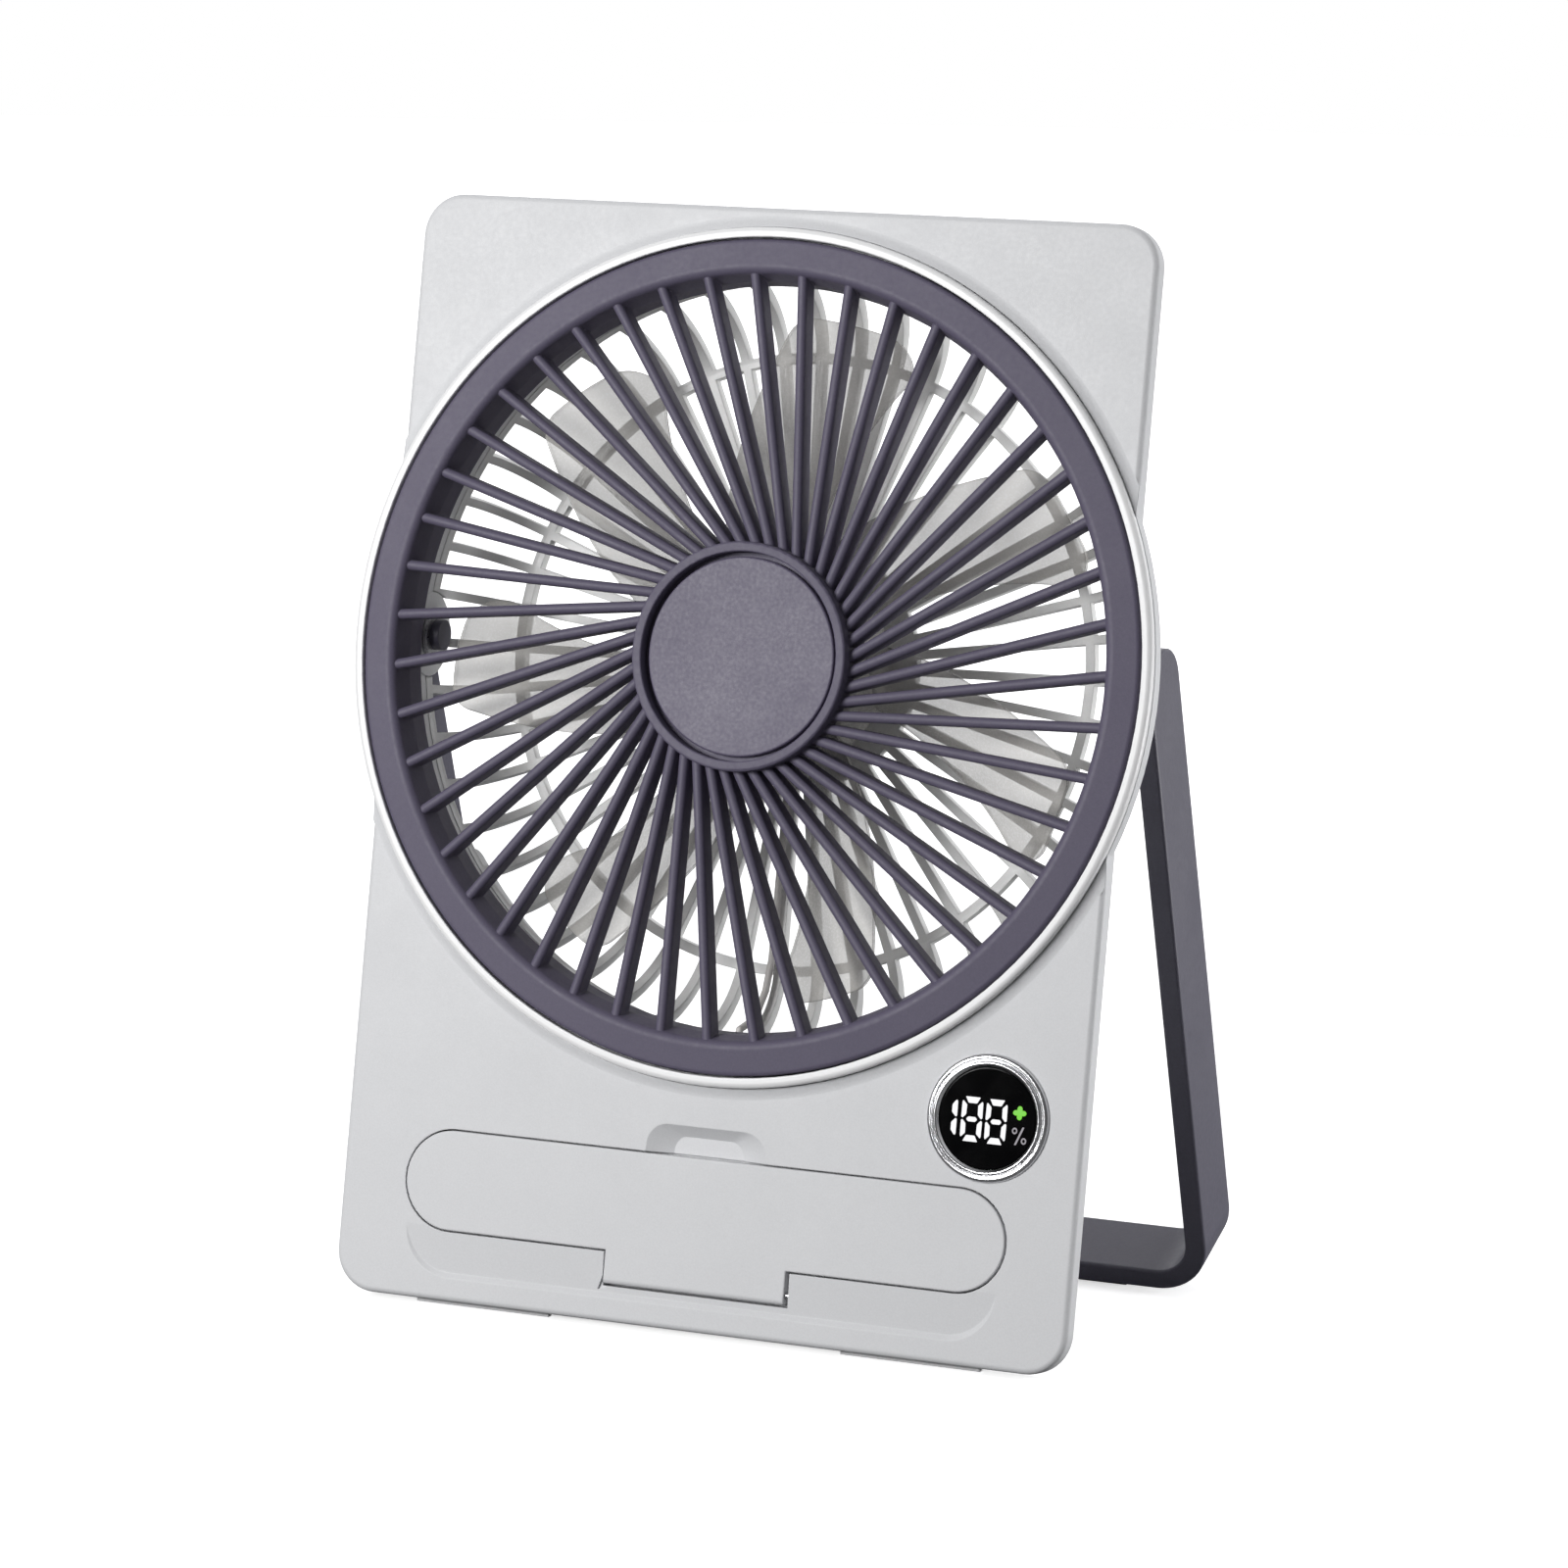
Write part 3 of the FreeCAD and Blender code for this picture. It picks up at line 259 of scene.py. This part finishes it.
MATS["wire"] = plastic("wire", (0.62, 0.60, 0.58), 0.42, grain=0.03, grain_scale=1800, mottle=0.05, bump=0.15, edge_highlight=0.1)
MATS["chrome"] = metal("chrome", (0.68, 0.68, 0.695), 0.20, scale=1500.0, bump=0.0, tint=0.015, edge_highlight=0.0)
MATS["steel"] = metal("steel", (0.60, 0.60, 0.61), 0.30, brush=(1, 1, 8), scale=500.0)
MATS["core_steel"] = metal("core_steel", (0.36, 0.36, 0.37), 0.40, brush=(0.2, 6, 0.2), scale=700.0, bump=0.4)
MATS["magnet"] = metal("magnet", (0.10, 0.10, 0.105), 0.55, scale=1500.0, bump=0.4, metallic=0.3)


def make_lens():
    t = Tree("lens_black")
    dust = t.noise(1800.0, 3.0, 0.6)
    smear = t.noise(140.0, 4.0, 0.6, distort=0.8)
    c = t.mix(t.span(dust, 0.55, 0.8, 0.0, 0.5), (0.0016, 0.0016, 0.0019), (0.0035, 0.0035, 0.0041))
    r = t.span(smear, 0.3, 0.7, 0.06, 0.12)
    normal, mask = t.soft_edge(0.0002)
    t.set(Base_Color=c, Roughness=r, Normal=t.bump(dust, 0.02, 0.00001, normal))
    t.bsdf.inputs["Specular IOR Level"].default_value = 0.10
    return t.mat


MATS["lens_black"] = make_lens()


def make_blade():
    """Smoky clear plastic: faint flow lines from the hub, thin milky haze, satin relief."""
    t = Tree("blade_plastic")
    haze = t.noise(30.0, 3.0, 0.6, distort=0.5)
    fine = t.noise(2200.0, 2.0, 0.6)
    flow = t.noise(90.0, 3.0, 0.6, co=t.stretch((1.0, 0.3, 1.0)), distort=0.8)
    base = (0.60, 0.585, 0.555)
    c = t.mix(t.span(haze, 0.3, 0.7, 0.0, 0.5), scaled(base, 0.9), scaled(base, 1.12))
    c = t.mix(t.span(flow, 0.5, 0.75, 0.0, 0.25), c, scaled(base, 1.3))
    c = t.mix(t.span(fine, 0.3, 0.7, 0.0, 0.15), c, scaled(base, 0.8))
    normal, mask = t.soft_edge(0.0004)
    # Painted shade: blade edges are darkened to half the base colour, standing in for the dark outlines that clear
    # plastic shows along its edges.
    c = t.mix(t.math("MULTIPLY", mask, 0.7), c, scaled(base, 0.5))
    a = t.span(haze, 0.3, 0.7, 0.45, 0.55)
    a = t.math("ADD", a, t.math("MULTIPLY", mask, 0.30), clamp=True)
    r = t.span(fine, 0.3, 0.7, 0.20, 0.32)
    n = t.bump(t.math("ADD", fine, t.math("MULTIPLY", flow, 2.0)), 0.12, 0.00004, normal)
    t.set(Base_Color=c, Roughness=r, Normal=n, Alpha=a)
    return t.mat


MATS["blade_plastic"] = make_blade()


def make_board():
    t = Tree("board")
    weave_a = t.wave(420.0, direction="X")
    weave_b = t.wave(420.0, direction="Z")
    w = t.math("MULTIPLY", weave_a, weave_b)
    tracks = t.cells(260.0, feature="DISTANCE_TO_EDGE")
    c = t.mix(t.span(w, 0.0, 1.0, 0.0, 0.35), (0.012, 0.085, 0.035), (0.03, 0.15, 0.06))
    c = t.mix(t.span(tracks, 0.0, 0.05, 0.55, 0.0), c, (0.05, 0.24, 0.10))
    n = t.bump(t.math("ADD", w, tracks), 0.2, 0.00003)
    t.set(Base_Color=c, Roughness=t.span(t.noise(400.0), 0.3, 0.7, 0.28, 0.42), Normal=n)
    return t.mat


MATS["board"] = make_board()


def make_copper():
    """Enamelled wire wound in close turns."""
    t = Tree("copper")
    turns = t.wave(1300.0, direction="DIAGONAL", distort=0.4, detail=1.0)
    # Colour follows the same wave as the relief: darker in the grooves between the turns, as painted shade.
    c = t.mix(turns, (0.30, 0.085, 0.03), (0.80, 0.33, 0.14))
    n = t.bump(turns, 0.7, 0.0001)
    t.set(Base_Color=c, Roughness=t.span(turns, 0.0, 1.0, 0.42, 0.25), Normal=n)
    t.bsdf.inputs["Metallic"].default_value = 0.85
    return t.mat


MATS["copper"] = make_copper()


def make_wrap():
    """Shrink wrap with small creases."""
    t = Tree("battery_wrap")
    crease = t.noise(160.0, 4.0, 0.6, distort=1.4)
    fine = t.noise(1800.0, 2.0, 0.5)
    # Colour follows the crease relief: darker where it dips, as painted shade in the creases.
    c = t.mix(t.span(crease, 0.35, 0.7, 0, 1), (0.05, 0.10, 0.19), (0.09, 0.17, 0.30))
    n = t.bump(t.math("ADD", crease, t.math("MULTIPLY", fine, 0.1)), 0.5, 0.0002)
    t.set(Base_Color=c, Roughness=t.span(fine, 0.3, 0.7, 0.18, 0.34), Normal=n)
    return t.mat


MATS["battery_wrap"] = make_wrap()


def make_glow(name, colour, strength, cell=900.0):
    """A lit segment behind the window: even light with a slightly grainy diffuser, softer towards dark spots."""
    t = Tree(name)
    g = t.noise(cell, 2.0, 0.5)
    c = t.mix(t.span(g, 0.3, 0.7, 0.0, 1.0), scaled(colour, 0.93), colour)
    t.set(Base_Color=t.mix(t.span(g, 0.3, 0.7, 0, 1), scaled(colour, 0.10), scaled(colour, 0.14)),
          Roughness=t.span(g, 0.3, 0.7, 0.35, 0.5), Emission_Color=c)
    t.bsdf.inputs["Emission Strength"].default_value = strength
    return t.mat


GLOW_WHITE = make_glow("glow_white", (0.90, 0.90, 0.92), 0.95)
GLOW_GREY = make_glow("glow_grey", (0.30, 0.28, 0.31), 0.9)
GLOW_GREEN = make_glow("glow_green", (0.14, 0.58, 0.006), 1.0)

# Every CAD node takes the material of its slot in the record.
slot_of = {s["node"]: s["material_slot"] for s in frame["record"]["subparts"]}
for name, obj in frame["nodes"].items():
    mat = MATS[slot_of[name]]
    if not obj.material_slots:
        obj.data.materials.append(mat)
    for s in obj.material_slots:
        s.material = mat


# ---------------------------------------------------------------- display figures
def slab(name, loops, z0, z1, mat, body="housing", bevel=0.06):
    """Closed flat solids from outlines in the panel frame, with a small chamfer round the front."""
    bm = bmesh.new()
    for outline in loops:
        n = len(outline)
        cx = sum(p[0] for p in outline) / n
        cy = sum(p[1] for p in outline) / n
        inner = []
        for i in range(n):
            a, b, c = Vector(outline[i - 1]), Vector(outline[i]), Vector(outline[(i + 1) % n])
            d1, d2 = (b - a).normalized(), (c - b).normalized()
            n1, n2 = Vector((-d1.y, d1.x)), Vector((-d2.y, d2.x))
            m = n1 + n2
            k = bevel / max(0.35, m.length_squared / 2)
            inner.append(b + m * k)
        back = [bm.verts.new(PANEL @ Vector((p[0], p[1], z0))) for p in outline]
        mid = [bm.verts.new(PANEL @ Vector((p[0], p[1], z1 - bevel * 0.5))) for p in outline]
        top = [bm.verts.new(PANEL @ Vector((p[0], p[1], z1))) for p in inner]
        bm.faces.new(list(reversed(back)))
        for i in range(n):
            j = (i + 1) % n
            bm.faces.new((back[i], back[j], mid[j], mid[i]))
            bm.faces.new((mid[i], mid[j], top[j], top[i]))
        bm.faces.new(top)
    mesh = bpy.data.meshes.new(name)
    bm.normal_update()
    bm.to_mesh(mesh)
    bm.free()
    o = bpy.data.objects.new(name, mesh)
    scene.collection.objects.link(o)
    mesh.materials.append(mat)
    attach(o, body)
    return o


def rounded(points, r, steps=3):
    """An anticlockwise outline with its corners rounded."""
    out = []
    n = len(points)
    for i in range(n):
        a, b, c = Vector(points[i - 1]), Vector(points[i]), Vector(points[(i + 1) % n])
        u, v = (a - b), (c - b)
        k = min(r, u.length * 0.45, v.length * 0.45)
        p, q = b + u.normalized() * k, b + v.normalized() * k
        for s in range(steps + 1):
            w = s / steps
            out.append(((1 - w) ** 2) * p + 2 * w * (1 - w) * b + (w ** 2) * q)
    return [(p.x, p.y) for p in out]


def figure_eight(cx, cy, w=4.2, h=8.3, t=1.02, tb=1.18):
    x, y = w / 2, h / 2
    top = [(-x + 0.62, y), (-x + t + 0.24, y - tb), (x - t - 0.24, y - tb), (x - 0.62, y)]
    bottom = [(px, -py) for px, py in reversed(top)]
    ul = [(-x + 0.20, y - 0.72), (-x + 0.04, y - 1.05), (-x, 0.30), (-x + 0.30, 0.12), (-x + t - 0.05, 0.85), (-x + t, y - tb - 0.34)]
    ur = [(-px, py) for px, py in reversed(ul)]
    ll = [(px, -py) for px, py in reversed(ul)]
    lr = [(-px, -py) for px, py in ul]
    mid = [(-1.10, 0.0), (-0.72, -0.46), (0.72, -0.46), (1.10, 0.0), (0.72, 0.46), (-0.72, 0.46)]
    return [rounded([(cx + px, cy + py) for px, py in loop], 0.18) for loop in (top, bottom, ul, ur, ll, lr, mid)]


def figure_one(xr, cy, h=7.5, t=1.08):
    y = h / 2
    up = [(xr, 0.26), (xr, y - 0.85), (xr - 0.12, y - 0.5), (xr - 0.42, y - 0.55), (xr - t, y - t - 0.35), (xr - t, 0.95), (xr - 0.30, 0.12)]
    up = [(px, cy + py) for px, py in up]
    down = [(px, 2 * cy - py) for px, py in reversed(up)]
    return [rounded(loop, 0.16) for loop in (up, down)]


FY = 46.0
digits = figure_one(50.15, FY - 0.1) + figure_eight(53.05, FY - 0.15) + figure_eight(57.85, FY - 0.2)
slab("display_figures", digits, 0.38, 0.53, GLOW_WHITE)


def percent():
    bm = bmesh.new()
    for cx, cy in ((61.65, 44.55), (63.55, 42.8)):
        n = 20
        prof = [(0.62, 0.38), (0.62, 0.51), (0.57, 0.53), (0.37, 0.53), (0.32, 0.51), (0.32, 0.38)]
        rings = []
        for i in range(n):
            a = 2 * math.pi * i / n
            rings.append([bm.verts.new(PANEL @ Vector((cx + r * math.cos(a) * 0.86, cy + r * math.sin(a), z))) for r, z in prof])
        for i in range(n):
            a, b = rings[i], rings[(i + 1) % n]
            for k in range(len(prof)):
                m = (k + 1) % len(prof)
                bm.faces.new((a[k], b[k], b[m], a[m]))
    bmesh.ops.recalc_face_normals(bm, faces=bm.faces)
    mesh = bpy.data.meshes.new("display_percent")
    bm.to_mesh(mesh)
    bm.free()
    o = bpy.data.objects.new("display_percent", mesh)
    scene.collection.objects.link(o)
    mesh.materials.append(GLOW_GREY)
    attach(o, "housing")
    slab("display_percent_bar", [rounded([(61.72, 41.95), (62.12, 41.95), (63.52, 45.35), (63.12, 45.35)], 0.12)], 0.38, 0.53,
         GLOW_GREY, bevel=0.04)


percent()
petals = []
for i in range(64):
    a = 2 * math.pi * i / 64
    r = 0.72 + 0.60 * abs(math.cos(2 * a)) ** 1.1
    petals.append((62.35 + r * math.cos(a), 47.9 + r * math.sin(a)))
slab("display_icon", [petals], 0.38, 0.53, GLOW_GREEN, bevel=0.05)


# ---------------------------------------------------------------- floor, light, camera
def floor(name, z, albedo, glow):
    mesh = bpy.data.meshes.new(name)
    bm = bmesh.new()
    rings = [0.0, 0.25, 0.5, 0.9, 1.5, 2.5, 4.0]
    n = 64
    loops = []
    for r in rings[1:]:
        loops.append([bm.verts.new((r * math.cos(2 * math.pi * i / n), r * math.sin(2 * math.pi * i / n), z)) for i in range(n)])
    c = bm.verts.new((0, 0, z))
    for i in range(n):
        bm.faces.new((c, loops[0][i], loops[0][(i + 1) % n]))
    for a, b in zip(loops, loops[1:]):
        for i in range(n):
            j = (i + 1) % n
            bm.faces.new((a[i], b[i], b[j], a[j]))
    bm.to_mesh(mesh)
    bm.free()
    o = bpy.data.objects.new(name, mesh)
    scene.collection.objects.link(o)
    t = Tree(name + "_paper")
    n1 = t.noise(300.0, 3.0, 0.6)
    c1 = t.mix(t.span(n1, 0.3, 0.7, 0, 1), (albedo * 0.98,) * 3, (albedo,) * 3)
    t.set(Base_Color=c1, Roughness=t.span(n1, 0.3, 0.7, 0.75, 0.85), Normal=t.bump(n1, 0.05, 0.0001))
    t.bsdf.inputs["Specular IOR Level"].default_value = 0.1
    t.bsdf.inputs["Emission Color"].default_value = (1, 1, 1, 1)
    t.bsdf.inputs["Emission Strength"].default_value = glow
    if glow:
        # Painted light: the table's glow rises from its base value near the middle to 1.05 by 0.75 m out, brightening
        # the far floor where the key light falls off.
        reach = t.add("ShaderNodeVectorMath", operation="LENGTH")
        t.link(t.co, reach.inputs[0])
        t.link(t.span(reach.outputs["Value"], 0.22, 0.75, glow, 1.05, smooth=True), t.bsdf.inputs["Emission Strength"])
    mesh.materials.append(t.mat)
    return o


# A pale lit table. What it throws back onto the object comes from a second, greyer sheet just under it,
# so that the white surround doesn't wash the fan out from below.
pale = floor("floor", 0.0, 0.92, 0.60)
pale.visible_diffuse = pale.visible_glossy = pale.visible_transmission = False
under = floor("floor_bounce", -0.0008, 0.35, 0.0)
under.visible_camera = False


def area(name, loc, target, size, power, colour=(1, 1, 1), shape="SQUARE", size_y=None, spread=180):
    d = bpy.data.lights.new(name, "AREA")
    d.shape = shape
    d.size = size
    if size_y:
        d.size_y = size_y
    d.energy = power
    d.color = colour
    d.spread = math.radians(spread)
    o = bpy.data.objects.new(name, d)
    scene.collection.objects.link(o)
    o.location = loc
    o.rotation_euler = (Vector(target) - Vector(loc)).to_track_quat("-Z", "Y").to_euler()
    return o


area("key", (-0.48, -1.00, 0.46), (0.0, -0.02, 0.09), 0.42, 11.5)
area("side", (0.36, 0.15, 0.03), (0.08, 0.03, 0.03), 0.2, 1.15)

world = bpy.data.worlds.new("studio")
scene.world = world
world.use_nodes = True
wt = world.node_tree
wt.nodes.clear()
w_out = wt.nodes.new("ShaderNodeOutputWorld")
w_mix = wt.nodes.new("ShaderNodeMixShader")
w_see = wt.nodes.new("ShaderNodeBackground")
w_lit = wt.nodes.new("ShaderNodeBackground")
w_path = wt.nodes.new("ShaderNodeLightPath")
w_co = wt.nodes.new("ShaderNodeTexCoord")
w_dot = wt.nodes.new("ShaderNodeVectorMath")
w_dot.operation = "DOT_PRODUCT"
w_dot.inputs[1].default_value = Vector((0.1, 0.95, 0.3)).normalized()
w_ramp = wt.nodes.new("ShaderNodeMapRange")
w_ramp.interpolation_type = "SMOOTHSTEP"
w_ramp.inputs["From Min"].default_value = -0.1
w_ramp.inputs["From Max"].default_value = 0.7
w_ramp.inputs["To Min"].default_value = 0.10
w_ramp.inputs["To Max"].default_value = 1.1
w_see.inputs["Color"].default_value = (1, 1, 1, 1)
w_see.inputs["Strength"].default_value = 1.0
w_lit.inputs["Color"].default_value = (0.98, 0.985, 1.0, 1)
wt.links.new(w_co.outputs["Generated"], w_dot.inputs[0])
wt.links.new(w_dot.outputs["Value"], w_ramp.inputs["Value"])
wt.links.new(w_ramp.outputs[0], w_lit.inputs["Strength"])
wt.links.new(w_path.outputs["Is Camera Ray"], w_mix.inputs[0])
wt.links.new(w_lit.outputs[0], w_mix.inputs[1])
wt.links.new(w_see.outputs[0], w_mix.inputs[2])
wt.links.new(w_mix.outputs[0], w_out.inputs["Surface"])

scene.view_settings.view_transform = "Standard"
scene.view_settings.look = "None"
scene.view_settings.exposure = 0.0
scene.view_settings.gamma = 1.0

cam_data = bpy.data.cameras.new("camera")
cam = bpy.data.objects.new("camera", cam_data)
scene.collection.objects.link(cam)
cam_data.sensor_width = 36.0
cam_data.sensor_fit = "HORIZONTAL"
cam_data.lens = 5758.0 / 1600.0 * 36.0
cam_data.clip_start = 0.05
cam_data.clip_end = 50.0
cam.matrix_world = Matrix((
    (0.9235317296, -0.0800072771, 0.3750839640, 0.40763594893),
    (0.3832100797, 0.1530655269, -0.9108902125, -0.99012378975),
    (0.0154654210, 0.9849719692, 0.1720204658, 0.28640865470),
    (0, 0, 0, 1)))
scene.camera = cam
